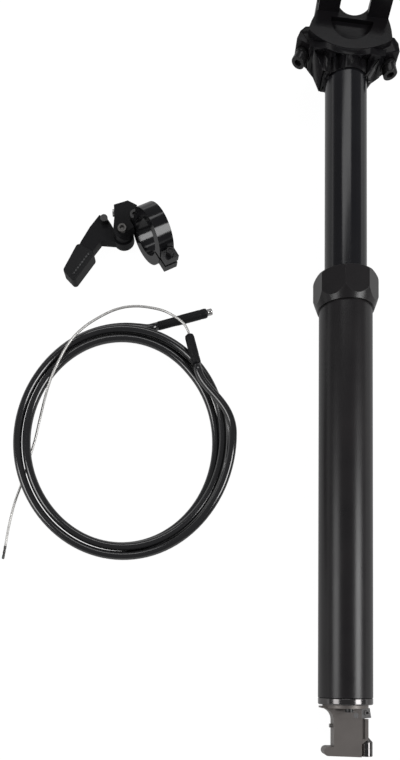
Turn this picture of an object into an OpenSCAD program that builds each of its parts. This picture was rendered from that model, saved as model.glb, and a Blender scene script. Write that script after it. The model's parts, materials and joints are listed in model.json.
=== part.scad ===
// Dropper seatpost set laid on a table: post, thumb remote and coiled cable. Millimetres.
// Origin on the post's axis at the collar's lower face, +Y along the post to the saddle, +Z up.

/* [Outer tube and collar] */
// Outside diameter of the outer tube, which sits in the seat tube
tube_d = 31.6; // [30.6:0.1:33]
// Wall of the outer tube
tube_wall = 2.2; // [2:0.1:2.6]
// Length of the outer tube below the collar
tube_len = 230; // [215:1:260]
// Length of tube held inside the collar
collar_grip = 10; // [8:0.5:11]
// Height of the collar
collar_h = 20; // [19.5:0.5:24]
// Size of the collar over its eight corners
collar_d = 38.6; // [38:0.1:42]
// Turn of the collar's corners round the post
collar_turn = -11; // [-22:1:22]
// Height of the collar's lower cone
collar_cone = 7; // [4:0.5:9]
// Height of the visible ring of the base foot
foot_ring = 4; // [3:0.5:6]
// Length of the foot's plug inside the tube
foot_plug = 16; // [12:1:20]

/* [Upper post] */
// Outside diameter of the stanchion
stanchion_d = 25; // [24.6:0.1:25.4]
// Wall of the stanchion
stanchion_wall = 2; // [1.8:0.1:2.2]
// Stanchion between the collar and the head at full height
exposed_len = 121; // [114:0.5:140]
// Stanchion below the collar's lower face at full height
overlap_len = 85; // [78:1:95]
// Drop of the post
travel = 105; // [80:1:108]
// Length of the head's spigot inside the stanchion
spigot_len = 26; // [18:1:34]
// Outside diameter of the gas cylinder
cylinder_d = 19; // [17.5:0.5:19.5]
// Wall of the gas cylinder
cylinder_wall = 1.2; // [1:0.1:1.5]
// Diameter of the piston rod
rod_d = 10; // [8:0.5:10]
// Diameter of the release pin in the rod
pin_d = 3.8; // [3:0.1:4]
// Diameter of the three guide keys
key_d = 3; // [2.6:0.1:3.2]
// Length of the guide keys
key_len = 14; // [10:1:18]

/* [Head and saddle clamp] */
// Forward lean of the head against the post
head_lean = 7; // [0:0.5:10]
// Radius of the trough that the cradle turns in
trough_r = 40; // [38:0.5:42]
// Metal between the trough and the head's lower edge
head_floor = 10.9; // [9:0.1:12.5]
// Tilt axis ahead of the post's axis
tilt_ahead = 4; // [2:0.5:5]
// Height of the saddle rails above the stanchion
rail_rise = 40.5; // [39:0.5:42]
// Half the width across the ends of the cradle's rail arms
cradle_half = 27; // [26.5:0.1:29]
// Saddle rail diameter
rail_d = 7; // [6.8:0.1:7.2]
// Distance between the two saddle rails
rail_gap = 44; // [43:0.5:45]
// Diameter of the clamp bolts
bolt_d = 5; // [4.6:0.1:5.2]
// Outward lean of the clamp bolts
bolt_lean = 20; // [16:1:22]
// Half the distance between the bolt seats under the lugs
bolt_half = 25.9; // [25:0.1:27]
// Diameter of the barrel nuts
barrel_nut_d = 9; // [8.4:0.1:9.6]

/* [Actuator] */
// Height of the actuator below the foot
actuator_h = 29.8; // [28:0.1:34]
// Depth of the actuator bracket, front to back
actuator_depth = 12; // [11:0.5:13]
// Distance from the post's axis to the arm's pivot
arm_pivot_x = 5; // [4.6:0.1:5.4]
// Depth of the arm's pivot below the foot
arm_pivot_drop = 6; // [5.6:0.1:6.4]
// Distance from the post's axis to the cable
cable_x = 11.95; // [11.5:0.05:12.4]
// Diameter of the cable housing
housing_d = 5; // [4:0.1:5]

/* [Remote] */
// Handlebar diameter
bar_d = 22.2; // [22:0.1:22.8]
// Radial thickness of the bar clamp
ring_wall = 5.4; // [4.5:0.1:6]
// Width of the bar clamp along the bar
ring_w = 10; // [8:0.5:11]
// Turn of the bar clamp's axis on the table
ring_turn = 32; // [28:1:36]
// Dip of the bar clamp's axis
ring_dip = 12; // [8:1:15]
// Thickness of the lever
lever_t = 6; // [5:0.5:7]
// Diameter of the lever's pivot bolt
pivot_d = 4; // [3.6:0.1:4.4]

/* [Cable] */
// Number of turns in the coil
coil_turns = 3.77; // [3.7:0.01:3.8]
// Half the coil's width over the first strand's centre
coil_rx = 66.5; // [60:0.5:70]
// Half the coil's length over the first strand's centre
coil_ry = 73.5; // [68:0.5:76]
// Diameter of the rubber boots
boot_d = 5.8; // [5.6:0.1:6.4]
// Diameter of the inner wire
wire_d = 1.5; // [1.2:0.1:1.6]

/* [Fits] */
// Running clearance on the radius
run_fit = 0.03; // [0.02:0.01:0.06]
// Clearance of fixed fits on the radius
seat_fit = 0.02; // [0.01:0.01:0.04]
// Free gap between moving pieces
free_gap = 0.4; // [0.3:0.05:0.5]

/* [Hidden] */
$fn = 64;

// Finishes
satin_black = "#1d1c1e";
gloss_black = "#121214";
rubber_black = "#19191a";
warm_grey = "#6b6762";
steel = "#b9bbbe";
brass = "#b5924a";
alloy = "#8f9296";
nylon = "#34343a";

// Radii of the post, outside in
tube_r = tube_d / 2;
tube_ri = tube_r - tube_wall;
stanchion_r = stanchion_d / 2;
stanchion_ri = stanchion_r - stanchion_wall;
cylinder_r = cylinder_d / 2;
cylinder_ri = cylinder_r - cylinder_wall;
rod_r = rod_d / 2;
pin_r = pin_d / 2;

// Heights along the standing post
base_z = -tube_len - foot_ring;
head_z = collar_h + exposed_len;
tilt_rise = trough_r + head_floor;
tilt_z = head_z + tilt_rise;
spigot_z = head_z - spigot_len;

// Collar
collar_r = collar_d / 2;
collar_foot_r = tube_r + 1;
collar_top_r = stanchion_r + 3.3;
collar_dome = 3;
thread_r = tube_r - 0.4;
flange_t = 1.5;
bushing_len = 28;
o_ring_d = 2;
o_ring_r = stanchion_r + run_fit + o_ring_d / 2;
wiper_r = stanchion_r + 2.4;
wiper_h = 4.4;
o_ring_z = collar_h - wiper_h - 1.1 - o_ring_d / 2;
wiper_lip = 0.8;

// Foot, rod and cartridge
foot_chamfer = 0.5;
nut_h = 5.4;
nut_recess = 6.6;
nut_recess_r = 9;
seal_head_z = -overlap_len + 2;
seal_head_h = 15;
piston_z = -overlap_len + 26;
piston_h = 10;
floating_z = piston_z + piston_h + travel + 18;
floating_h = 8;
centring_z = 4 - overlap_len;
centring_h = 6;
plug_flange = 3;
plug_len = 8;
fixing_r = 3;
fixing_head_r = 5;
fixing_head_h = 5;
fixing_seat = 4;
neck_step = 0.6;
neck_len = 12;
key_pitch = stanchion_r + 0.05;
key_z = -overlap_len + 19;
key_angles = [90, 210, 330];

// Head, cradle and clamp, measured from the tilt axis
rail_drop = tilt_rise - rail_rise;
rail_r = rail_d / 2;
rail_y = rail_gap / 2;
ear_drop = rail_drop + rail_r + 0.5;
ear_half = 19;
cradle_widest = 25;
cradle_widest_drop = trough_r - 7;
cradle_r = trough_r - 0.3;
cradle_waist = 12;
disc_half = stanchion_r + 0.9;
arm_in = 8.5;
arm_out = 21;
arm_floor = 3;
cradle_top_drop = rail_drop + 1.2;
notch_r = 12.8;
notch_drop = ear_drop - 8;
dish_r = 12.6;
dish_depth = 3;
dish_drop = ear_drop + 7;
lug_half = 8;
lug_h = 10;
lug_in = 5;
lug_out = 5.4;
lug_root = 16.5;
seat_drop = tilt_rise - 16.3;
nut_drop = rail_drop - 4;
bolt_r = bolt_d / 2;
bolt_hole_r = bolt_r + 0.9;
bolt_head_r = 4.25;
bolt_head_h = 5;
washer_r = 4.6;
washer_t = 1.8;
bolt_socket_r = 2.3;
barrel_nut_r = barrel_nut_d / 2;
clamp_bar_half = 8.5;
clamp_arm_x = 14.5;
clamp_arm_w = 8;
clamp_wall = 2;
clamp_rise = 7.5;
bridge_r = notch_r - 0.6;
bridge_t = 4;
rim_t = 3.5;
rim_flat = 14;
bolt_tail = 6;
cut_long = 2 * trough_r;
cut_high = trough_r;
bar_cut = 4 * bar_d;
nut_half_x = bolt_half - (seat_drop - nut_drop) * tan(bolt_lean);
bolt_reach = (seat_drop - nut_drop) / cos(bolt_lean);

// Lean of the post on the table, on its cradle and its foot
arm_low = rail_drop + rail_r + arm_floor;
rest_z = tilt_z - arm_low * cos(head_lean) - arm_out * sin(head_lean);
post_pitch = atan((cradle_half - tube_r) / (rest_z - base_z));
table_z = base_z * sin(post_pitch) - tube_r * cos(post_pitch);

// Actuator, measured from the foot's lower face
plate_left = -7.6;
plate_right = 8.2;
rail_right = 12.1;
bracket_flange_r = 13.2;
bracket_flange = 2;
bracket_half = actuator_depth / 2;
cheek = 2.3;
slot_half = bracket_half - cheek;
slot_left = plate_left + 1.6;
slot_floor = -19.5;
arm_half = slot_half - 1.6;
arm_hole_r = 1.5;
stop_r = 3.75;
stop_h = 8.3;
stop_bore_r = housing_d / 2 + 0.05;
stop_bore_len = 5;
wire_hole_r = wire_d / 2 + 0.25;
screw_y = 11;
foot_screw_r = 1.5;
barrel_z = -4.6;
barrel_r = 1.5;
grub_z = -12.3;
grub_r = 1.15;

// Remote, heights measured from the table
lever_z = 3;
perch_z = lever_z + lever_t + 0.6;
perch_h = 5.4;
pivot_xy = [-135.2, 54.6];
hub_r = 6.5;
ring_r = bar_d / 2 + ring_wall;
ring_xy = [-116.5, 50.5];
ring_z = ring_r * cos(ring_dip) + ring_w / 2 * sin(ring_dip) + 0.2;
ear_reach = ring_r + 6;
ear_thick = 5;
ear_gap = 1.6;
clamp_screw_r = 2;
clamp_screw_x = ring_r + 2.6;
perch_screw_xy = [-127.5, 63.5];
perch_screw_r = 2;
perch_screw_head_r = 3.2;
perch_boss_r = 5;
stop_xy = [-140.9, 66.8];
anchor_xy = [-147, 63.6];
pivot_r = pivot_d / 2;

// Points of the lever and perch on the table, from the pivot
lever_points = [[-5.5, 3.5], [-9.2, 9.6], [-15.1, 13.2], [-20.8, 5.4], [-26.2, -4.2],
  [-33.6, -21.4], [-29.4, -25.2], [-18.8, -10.6], [-13.8, -3.6], [-5, -4.2]];
pad_points = [[-27, -6.4], [-18.2, -11.6], [-30.6, -29.6], [-36, -24.4]];
perch_points = [[0, -5.5], [7.2, 0.4], [14, 7.4], [8.4, 16], [3, 18.7], [-5.5, 15.9],
  [-5.1, 7.6], [-5.5, 1]];

// Cable on the table, heights measured from the table
housing_r = housing_d / 2;
coil_xy = [-133, -74.5];
coil_start = 84;
coil_step = housing_d + 0.5;
coil_turn_back = coil_turns / 2;
hump_at = 200;
hump_wide = 34;
hump_rise = wire_d + 1.3;
boot_r = boot_d / 2;
wire_r = wire_d / 2;

// Lays the standing post on the table
module laid() {
  rotate([post_pitch - 90, 0, 0]) children();
}

// Places pieces of the head and clamp at the tilt axis, leaning with the head
module at_tilt() {
  translate([tilt_ahead, 0, tilt_z]) rotate([0, head_lean, 0]) children();
}

// Extrudes a side view across the bicycle
module across(half) {
  rotate([90, 0, 0]) linear_extrude(height = 2 * half, center = true) children();
}

// A round bar across the bicycle
module cross_bar(r, half) {
  rotate([90, 0, 0]) cylinder(r = r, h = 2 * half, center = true);
}

// A tube standing from z0 to z1
module sleeve(outer, inner, z0, z1) {
  difference() {
    translate([0, 0, z0]) cylinder(r = outer, h = z1 - z0);
    translate([0, 0, z0 - 1]) cylinder(r = inner, h = z1 - z0 + 2);
  }
}

module outer_tube() {
  groove_z = -overlap_len - travel;
  color(satin_black) laid() difference() {
    union() {
      sleeve(tube_r, tube_ri, -tube_len, 0);
      sleeve(thread_r, tube_ri, -1, collar_grip);
    }
    for (a = key_angles)
      rotate([0, 0, a]) translate([key_pitch, 0, groove_z])
        cylinder(r = key_d / 2 + run_fit, h = collar_grip - groove_z + 1, $fn = 32);
  }
}

module collar_nut() {
  straight = collar_h - collar_dome;
  dome = [for (t = [15:15:90])
    [collar_top_r + (collar_r - collar_top_r) * cos(t), straight + collar_dome * sin(t)]];
  outline = concat([[0, 0], [collar_foot_r, 0], [collar_r, collar_cone], [collar_r, straight]],
    dome, [[0, collar_h]]);
  color(satin_black) laid() difference() {
    intersection() {
      rotate_extrude() polygon(outline);
      rotate([0, 0, collar_turn - 90]) cylinder(r = collar_r, h = collar_h, $fn = 8);
    }
    translate([0, 0, -1]) cylinder(r = thread_r + seat_fit, h = collar_grip + flange_t + 1);
    cylinder(r = stanchion_r + free_gap, h = collar_h + 1);
    translate([0, 0, o_ring_z - o_ring_d / 2 - seat_fit])
      cylinder(r = o_ring_r + o_ring_d / 2 + seat_fit, h = o_ring_d + 2 * seat_fit);
    translate([0, 0, collar_h - wiper_h]) cylinder(r = wiper_r + seat_fit, h = wiper_h + 1);
  }
}

module wiper_seal() {
  inner = stanchion_r + run_fit;
  color(rubber_black) laid() translate([0, 0, collar_h - wiper_h]) rotate_extrude()
    polygon([[inner, 0], [wiper_r, 0], [wiper_r, wiper_h - 0.2], [inner + 1.1, wiper_h - 0.2],
      [inner + 0.5, wiper_h + wiper_lip], [inner, wiper_h + wiper_lip]]);
}

module collar_o_ring() {
  color(rubber_black) laid() translate([0, 0, o_ring_z]) rotate_extrude()
    translate([o_ring_r, 0]) circle(d = o_ring_d, $fn = 24);
}

module upper_bushing() {
  color(nylon) laid() difference() {
    union() {
      translate([0, 0, collar_grip - bushing_len])
        cylinder(r = tube_ri - seat_fit, h = bushing_len + flange_t / 2);
      translate([0, 0, collar_grip]) cylinder(r = thread_r, h = flange_t);
    }
    translate([0, 0, collar_grip - bushing_len - 1])
      cylinder(r = stanchion_r + run_fit, h = bushing_len + flange_t + 2);
  }
}

module base_foot() {
  ring = [[0, base_z], [tube_r - foot_chamfer, base_z], [tube_r, base_z + foot_chamfer],
    [tube_r, -tube_len - foot_chamfer], [tube_r - foot_chamfer, -tube_len],
    [tube_ri - seat_fit, -tube_len], [tube_ri - seat_fit, foot_plug - tube_len], [0, foot_plug - tube_len]];
  color(alloy) laid() difference() {
    rotate_extrude() polygon(ring);
    translate([0, 0, base_z - 1]) cylinder(r = rod_r + seat_fit, h = foot_ring + foot_plug + 2);
    translate([0, 0, base_z - 1]) cylinder(r = nut_recess_r, h = nut_recess + 1);
    for (side = [-1, 1])
      translate([0, side * screw_y, base_z - 1]) cylinder(r = foot_screw_r, h = 10, $fn = 24);
  }
}

module piston_rod() {
  color(steel) laid() sleeve(rod_r, pin_r + run_fit, base_z + 0.8, piston_z + piston_h);
}

module rod_piston() {
  color(alloy) laid()
    sleeve(cylinder_ri - run_fit, rod_r + seat_fit, piston_z, piston_z + piston_h);
}

module rod_lock_nut() {
  color(steel) laid() difference() {
    translate([0, 0, base_z + nut_recess - nut_h]) cylinder(r = 8, h = nut_h, $fn = 6);
    translate([0, 0, base_z]) cylinder(r = rod_r + seat_fit, h = nut_recess + 1);
  }
}

module stanchion() {
  color(gloss_black) laid() difference() {
    sleeve(stanchion_r, stanchion_ri, -overlap_len, head_z);
    sleeve(stanchion_r + 1, stanchion_r - neck_step, -overlap_len - 1, neck_len - overlap_len);
    for (a = key_angles)
      rotate([0, 0, a]) translate([key_pitch, 0, key_z])
        cylinder(r = key_d / 2 + seat_fit, h = key_len, $fn = 32);
  }
}

module lower_bushing() {
  color(nylon) laid() sleeve(tube_ri - run_fit, stanchion_r - neck_step + seat_fit,
    0.5 - overlap_len, neck_len - overlap_len);
}

module guide_keys() {
  color(brass) laid() for (a = key_angles)
    rotate([0, 0, a]) translate([key_pitch, 0, key_z]) cylinder(d = key_d, h = key_len, $fn = 32);
}

module gas_cylinder() {
  color(alloy) laid() sleeve(cylinder_r, cylinder_ri, seal_head_z, spigot_z - plug_flange);
}

module cylinder_end_plug() {
  color(alloy) laid() difference() {
    union() {
      translate([0, 0, spigot_z - plug_flange]) cylinder(r = cylinder_r, h = plug_flange);
      translate([0, 0, spigot_z - plug_flange - plug_len])
        cylinder(r = cylinder_ri - seat_fit, h = plug_len + 1);
    }
    translate([0, 0, spigot_z - plug_flange - plug_len + 2])
      cylinder(r = fixing_r + seat_fit, h = plug_len + plug_flange);
  }
}

module cylinder_seal_head() {
  color(alloy) laid()
    sleeve(cylinder_ri - seat_fit, rod_r + run_fit, seal_head_z, seal_head_z + seal_head_h);
}

module top_out_bumper() {
  color(rubber_black) laid() sleeve(cylinder_ri - 0.3, rod_r + free_gap,
    seal_head_z + seal_head_h, piston_z - free_gap);
}

module floating_piston() {
  color(alloy) laid() translate([0, 0, floating_z]) cylinder(r = cylinder_ri - seat_fit, h = floating_h);
}

module centring_ring() {
  color(nylon) laid() sleeve(stanchion_ri - seat_fit, cylinder_r + seat_fit,
    centring_z, centring_z + centring_h);
}

module top_fixing_bolt() {
  seat_z = head_z - fixing_seat;
  tip_z = spigot_z - plug_flange - plug_len + 2.5;
  color(steel) laid() difference() {
    union() {
      translate([0, 0, tip_z]) cylinder(r = fixing_r, h = seat_z - tip_z + 1, $fn = 32);
      translate([0, 0, seat_z]) cylinder(r = fixing_head_r, h = fixing_head_h, $fn = 48);
    }
    translate([0, 0, seat_z + 2]) cylinder(r = 2.9, h = fixing_head_h, $fn = 6);
  }
}

// Bolt axis on the front (1) or rear (-1) side, its origin on the seat under the lug
module at_bolt(side) {
  translate([side * bolt_half, 0, -seat_drop]) rotate([0, -side * bolt_lean, 0]) children();
}

// Side view of a lug and its web, front side
module lug_outline() {
  function along(u, w) = [bolt_half + u * cos(bolt_lean) - w * sin(bolt_lean),
    -seat_drop + u * sin(bolt_lean) + w * cos(bolt_lean)];
  polygon([[stanchion_r - 1, -tilt_rise + 1.6], [stanchion_r + 0.7, -tilt_rise],
    along(-lug_in, 0), along(lug_out, 0), along(lug_out + 0.3, 5),
    along(lug_out - 1.2, lug_h - 1.2), along(lug_out - 3.4, lug_h), along(2 - lug_in, lug_h),
    along(-lug_in, lug_h - 1.6), [lug_root, -sqrt(trough_r * trough_r - lug_root * lug_root)]]);
}

module seat_head() {
  color(gloss_black) laid() difference() {
    union() {
      translate([0, 0, spigot_z]) cylinder(r = stanchion_ri - seat_fit, h = spigot_len + 1);
      difference() {
        union() {
          translate([0, 0, head_z]) cylinder(r = disc_half, h = head_floor + 6);
          at_tilt() across(lug_half) polygon([[-stanchion_r, -tilt_rise], [stanchion_r, -tilt_rise],
            [lug_root, -trough_r], [lug_root, 6 - trough_r],
            [-lug_root, 6 - trough_r], [-lug_root, -trough_r]]);
          at_tilt() trough_rim();
        }
        at_tilt() cross_bar(trough_r, cradle_half + 5);
      }
      at_tilt() for (side = [0, 1]) mirror([side, 0, 0]) across(lug_half) lug_outline();
    }
    sleeve(stanchion_r + seat_fit, stanchion_ri - seat_fit, head_z - spigot_len - 1, head_z);
    translate([0, 0, spigot_z - 1]) cylinder(r = fixing_r + 0.3, h = spigot_len + 2, $fn = 32);
    translate([0, 0, head_z - fixing_seat])
      cylinder(r = fixing_head_r + 0.3, h = fixing_seat + head_floor + 6, $fn = 48);
    at_tilt() for (side = [-1, 1]) at_bolt(side) {
      translate([0, 0, -1]) cylinder(r = bolt_hole_r, h = lug_h + 6, $fn = 32);
      translate([0, 0, -cut_high]) cylinder(r = washer_r + free_gap, h = cut_high, $fn = 48);
    }
  }
}

// Lip of the head under the cradle, thinner towards the lugs
module trough_rim() {
  reach = cradle_widest - 2;
  intersection() {
    cross_bar(trough_r + rim_t, disc_half);
    translate([0, 0, -trough_r - rim_t]) linear_extrude(height = 2 * rim_t + 8)
      polygon([[-reach, -lug_half], [-rim_flat, -disc_half], [rim_flat, -disc_half], [reach, -lug_half],
        [reach, lug_half], [rim_flat, disc_half], [-rim_flat, disc_half], [-reach, lug_half]]);
  }
}

// Space of a saddle rail on the left (-1) or right (1)
module saddle_rail(side) {
  translate([0, side * rail_y, -rail_drop]) rotate([0, 90, 0])
    cylinder(r = rail_r, h = cut_long, center = true);
}

// Side view of the cradle: eared top, swelling sides and the round underside
module cradle_outline() {
  rise = cradle_widest_drop - ear_drop;
  edge = [for (t = [0:0.2:1])
    [ear_half + (cradle_widest - ear_half) * sin(90 * t), -ear_drop - rise * t]];
  low = [cradle_widest - 0.4, -trough_r - 1];
  right = concat(edge, [low]);
  left = [for (i = [len(right) - 1:-1:0]) [-right[i][0], right[i][1]]];
  intersection() {
    polygon(concat(right, left));
    circle(r = cradle_r, $fn = 128);
  }
}

module lower_cradle() {
  waist_cut = 2 * (lug_half + 1);
  color(gloss_black) laid() at_tilt() difference() {
    union() {
      across(disc_half) cradle_outline();
      for (side = [-1, 1]) translate([side * (arm_in + arm_out) / 2, 0, 0])
        rotate([90, 0, 90]) linear_extrude(height = arm_out - arm_in, center = true) arm_outline();
    }
    for (side = [-1, 1]) {
      translate([side * (cradle_waist + cut_high / 2), 0, -ear_drop])
        cube([cut_high, waist_cut, 2 * cut_long], center = true);
      saddle_rail(side);
      translate([0, side * rail_y, cut_high / 2 - rail_drop])
        cube([cut_long, rail_d, cut_high], center = true);
      difference() {
        translate([0, side * disc_half, -dish_drop]) cross_bar(dish_r, dish_depth);
        translate([0, side * disc_half, cut_high / 2 - dish_drop])
          cube([cut_long, 4 * dish_depth, cut_high], center = true);
      }
    }
    translate([0, 0, -notch_drop]) cross_bar(notch_r, disc_half + 1);
  }
}

// Section of a rail arm across the bicycle: floor under the rails, outer lips, and a root in the disc
module arm_outline() {
  right = [[cradle_half, -rail_drop], [cradle_half, -arm_low], [disc_half, -arm_low - 2]];
  left = [for (i = [len(right) - 1:-1:0]) [-right[i][0], right[i][1]]];
  top = [[-rail_y, -rail_drop], [-disc_half - 3, -cradle_top_drop], [-disc_half, -ear_drop],
    [disc_half, -ear_drop], [disc_half + 3, -cradle_top_drop], [rail_y, -rail_drop]];
  polygon(concat(right, left, top));
}

// Side view of the bar between the two nut bosses, hung in the cradle's notch
module clamp_bridge() {
  translate([0, -notch_drop]) difference() {
    circle(r = bridge_r);
    translate([0, bridge_t / 2]) circle(r = bridge_r - bridge_t / 2);
    translate([-cut_high, 0]) square([2 * cut_high, cut_high]);
  }
}

module upper_clamp() {
  sole = -rail_drop + 0.8;
  roof = clamp_rise - rail_drop;
  boss = barrel_nut_r + clamp_wall;
  arm_end = cradle_half - 1.8;
  color(gloss_black) laid() at_tilt() difference() {
    union() {
      across(clamp_bar_half) union() {
        for (side = [-1, 1]) translate([side * nut_half_x, -nut_drop]) circle(r = boss);
        clamp_bridge();
      }
      for (side = [-1, 1]) translate([side * clamp_arm_x, 0, 0])
        rotate([90, 0, 90]) linear_extrude(height = clamp_arm_w, center = true)
          polygon([[-arm_end, sole], [arm_end, sole], [arm_end, sole + 2.2], [rail_y - 1, roof - 0.5],
            [9, roof], [-9, roof], [1 - rail_y, roof - 0.5], [-arm_end, sole + 2.2]]);
    }
    for (side = [-1, 1]) {
      saddle_rail(side);
      translate([side * nut_half_x, 0, -nut_drop]) cross_bar(barrel_nut_r + run_fit, clamp_bar_half + 1);
      at_bolt(side) translate([0, 0, bolt_reach])
        cube([2 * bolt_r + 4, bolt_d + 1.4, cut_high], center = true);
    }
  }
}

module barrel_nut(side) {
  color(steel) laid() at_tilt() difference() {
    translate([side * nut_half_x, 0, -nut_drop]) cross_bar(barrel_nut_r, clamp_bar_half - 0.3);
    at_bolt(side) translate([0, 0, bolt_reach - 10]) cylinder(r = bolt_r + run_fit, h = 20, $fn = 48);
  }
}

module front_barrel_nut() {
  barrel_nut(1);
}

module rear_barrel_nut() {
  barrel_nut(-1);
}

module clamp_bolt(side) {
  head_z0 = -free_gap - washer_t - bolt_head_h;
  color(gloss_black) laid() at_tilt() at_bolt(side) difference() {
    union() {
      translate([0, 0, head_z0]) cylinder(r = bolt_head_r, h = bolt_head_h, $fn = 48);
      translate([0, 0, head_z0 + 1]) cylinder(r = bolt_r, h = bolt_reach + bolt_tail - head_z0, $fn = 48);
    }
    translate([0, 0, head_z0 - 1]) cylinder(r = bolt_socket_r, h = 3.6, $fn = 6);
  }
}

module front_clamp_bolt() {
  clamp_bolt(1);
}

module rear_clamp_bolt() {
  clamp_bolt(-1);
}

module bolt_washer(side) {
  color(steel) laid() at_tilt() at_bolt(side)
    sleeve(washer_r, bolt_r + seat_fit, -free_gap - washer_t, -free_gap);
}

module front_washer() {
  bolt_washer(1);
}

module rear_washer() {
  bolt_washer(-1);
}

// Places pieces of the actuator at the foot's lower face
module below_foot() {
  laid() translate([0, 0, base_z]) children();
}

module actuator_bracket() {
  floor_z = -actuator_h;
  fillet_r = 7;
  toe_x = -10.7;
  toe_r = 2.6;
  color(warm_grey) below_foot() difference() {
    union() {
      translate([0, 0, -bracket_flange]) cylinder(r = bracket_flange_r, h = bracket_flange);
      across(bracket_half) union() {
        polygon([[plate_left, -1], [plate_right, -1], [plate_right, -8], [rail_right, -8],
          [rail_right, slot_floor], [plate_right, slot_floor - 3], [plate_right, floor_z],
          [toe_x, floor_z + 0.5],
          [toe_x, floor_z + 0.5 + 2 * toe_r], [plate_left, floor_z + 0.5 + 2 * toe_r]]);
        translate([toe_x, floor_z + 0.5 + toe_r]) circle(r = toe_r);
        difference() {
          translate([plate_left - fillet_r, -fillet_r - 2]) square([fillet_r + 0.5, fillet_r + 1]);
          translate([plate_left - fillet_r, -fillet_r - 2]) circle(r = fillet_r);
        }
      }
      across(2.5) translate([plate_right - 1, floor_z]) square([cable_x - plate_right + 1, stop_h]);
    }
    translate([slot_left, -slot_half, slot_floor]) cube([cut_high, 2 * slot_half, 1 - slot_floor]);
    translate([plate_right + 0.2, -bracket_half - 1, slot_floor]) cube([1.8, 2.2, 11.5]);
    translate([plate_left - 1, -bracket_half - 1, -8.2]) cube([plate_right - plate_left + 1, 1.3, 6.2]);
    translate([cable_x, 0, floor_z - 1]) cylinder(r = stop_r + seat_fit, h = actuator_h);
    translate([arm_pivot_x, 0, -arm_pivot_drop])
      cross_bar(arm_hole_r + seat_fit, bracket_half + 1, $fn = 32);
    for (side = [-1, 1])
      translate([0, side * screw_y, -bracket_flange - 1])
        cylinder(r = foot_screw_r + 0.1, h = bracket_flange + 2, $fn = 24);
    translate([plate_left - 4, 0, grub_z]) rotate([0, 90, 0])
      cylinder(r = grub_r + seat_fit, h = 8, $fn = 24);
  }
}

module housing_stop_sleeve() {
  floor_z = -actuator_h;
  color(steel) below_foot() translate([cable_x, 0, floor_z]) difference() {
    union() {
      cylinder(r = stop_r, h = stop_h);
      translate([0, 0, stop_h]) cylinder(r1 = stop_r, r2 = 1.6, h = 2.4);
    }
    translate([0, 0, -1]) cylinder(r = stop_bore_r, h = stop_bore_len + 1);
    translate([0, 0, -1]) cylinder(r = wire_hole_r, h = actuator_h, $fn = 24);
  }
}

module bracket_screws() {
  color(steel) below_foot() for (side = [-1, 1]) translate([0, side * screw_y, -bracket_flange]) {
    translate([0, 0, -2]) cylinder(r = 2.4, h = 2, $fn = 32);
    translate([0, 0, -0.5]) cylinder(r = foot_screw_r - seat_fit, h = bracket_flange + 7, $fn = 24);
  }
}

module bracket_grub_screw() {
  color(steel) below_foot() translate([plate_left - 1.8, 0, grub_z]) rotate([0, 90, 0])
    cylinder(r = grub_r, h = 3.8, $fn = 24);
}

module arm_pivot_pin() {
  color(steel) below_foot() translate([arm_pivot_x, 0, -arm_pivot_drop])
    cross_bar(arm_hole_r, bracket_half - 0.3, $fn = 32);
}

module arm_return_spring() {
  wide = slot_half - arm_half - 0.4;
  leg = arm_pivot_x - slot_left - 0.2;
  color(steel) below_foot()
    translate([arm_pivot_x, arm_half + 0.2 + wide / 2, -arm_pivot_drop]) difference() {
      union() {
        cross_bar(2.6, wide / 2, $fn = 32);
        translate([-leg, -wide / 2, -2.5]) cube([leg, wide, 0.9]);
      }
      cross_bar(arm_hole_r + 0.05, wide, $fn = 32);
    }
}

module release_pin() {
  foot_gap = 2.3;
  color(steel) laid() translate([0, 0, base_z - foot_gap])
    cylinder(r = pin_r, h = piston_z + piston_h - 3 - base_z + foot_gap, $fn = 32);
}

module actuator_arm() {
  color(steel) below_foot() difference() {
    across(arm_half) polygon([[-3.2, -2.6], [-3.2, -5.4], [2.5, -9.2], [7.4, -9.4], [9.6, -8],
      [cable_x + 2.6, -7.5], [cable_x + 1.8, -1.9], [9.3, -1.7], [6.6, -2.6]]);
    translate([arm_pivot_x, 0, -arm_pivot_drop]) cross_bar(arm_hole_r + run_fit, arm_half + 1, $fn = 32);
    translate([cable_x, 0, barrel_z]) cross_bar(barrel_r + seat_fit, arm_half + 1, $fn = 32);
    translate([cable_x - 0.9, -0.9, -12]) cube([1.8, 1.8, 12 + barrel_z]);
  }
}

module cable_barrel() {
  half = slot_half - 0.3;
  color(steel) below_foot() translate([cable_x, 0, barrel_z]) difference() {
    cross_bar(barrel_r, half, $fn = 32);
    cylinder(r = wire_d / 2 + 0.05, h = 8, center = true, $fn = 24);
    translate([0, -half / 2 - 0.5, 0]) cross_bar(0.8, half / 2 - 0.4, $fn = 24);
  }
}

module barrel_grub_screw() {
  half = slot_half - 0.3;
  color(gloss_black) below_foot() translate([cable_x, -half / 2 - 0.5, barrel_z])
    cross_bar(0.8 - seat_fit, half / 2 - 0.6, $fn = 24);
}

// Lifts remote and cable pieces to a height above the table
module on_table(h) {
  translate([0, 0, table_z + h]) children();
}

// Places bar clamp pieces: their z along the handlebar, their x toward the clamp screw
module at_ring() {
  on_table(ring_z) translate(ring_xy) rotate([0, 0, ring_turn]) rotate([0, ring_dip, 0])
    rotate([-90, 0, 0]) rotate([0, 90, 0]) children();
}

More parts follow.
